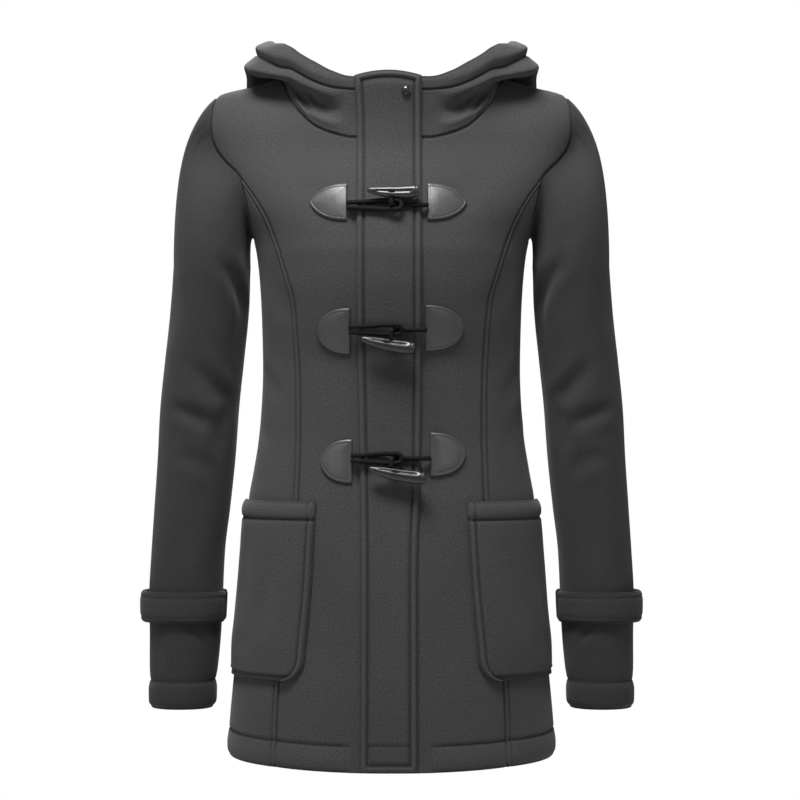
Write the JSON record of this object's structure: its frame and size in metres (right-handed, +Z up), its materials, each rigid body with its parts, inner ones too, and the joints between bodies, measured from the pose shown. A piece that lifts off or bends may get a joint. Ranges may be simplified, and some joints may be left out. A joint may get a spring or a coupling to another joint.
{
  "type": "hooded toggle coat",
  "caption": "Hip-length hooded fleece coat, hollow as worn, with toggle fastenings, patch pockets and a hood thrown back.",
  "frame": {"origin": "the middle between the points where the shoulder seams meet the neckline, level with them, where a wearer's shoulders carry the coat", "axes": "+Z up, the coat's front faces -Y, the wearer's left is +X"},
  "size_m": [0.5234, 0.3007, 0.7523],
  "materials": {
    "fleece": "matte bonded fleece, charcoal grey",
    "leather": "smooth, half gloss",
    "cord": "matte braid",
    "horn": "polished imitation horn",
    "snap_metal": "dark enamelled cap"
  },
  "bodies": {
    "root": {"front_left": "fleece", "front_right": "fleece", "side_front_left": "fleece", "side_front_right": "fleece", "side_back_left": "fleece", "side_back_right": "fleece", "back": "fleece", "sleeve_left": "fleece", "sleeve_right": "fleece", "cuff_strap_left": "fleece", "cuff_strap_right": "fleece", "hood_left": "fleece", "hood_right": "fleece", "pocket_left": "fleece", "pocket_right": "fleece", "placket": "fleece", "tab_left_top": "leather", "tab_left_mid": "leather", "tab_left_low": "leather", "tab_right_top": "leather", "tab_right_mid": "leather", "tab_right_low": "leather", "loop_cord_top": "cord", "loop_cord_mid": "cord", "loop_cord_low": "cord", "toggle_cord_top": "cord", "toggle_cord_mid": "cord", "toggle_cord_low": "cord", "toggle_top": "horn", "toggle_mid": "horn", "toggle_low": "horn", "snap": "snap_metal"}
  },
  "joints": []
}
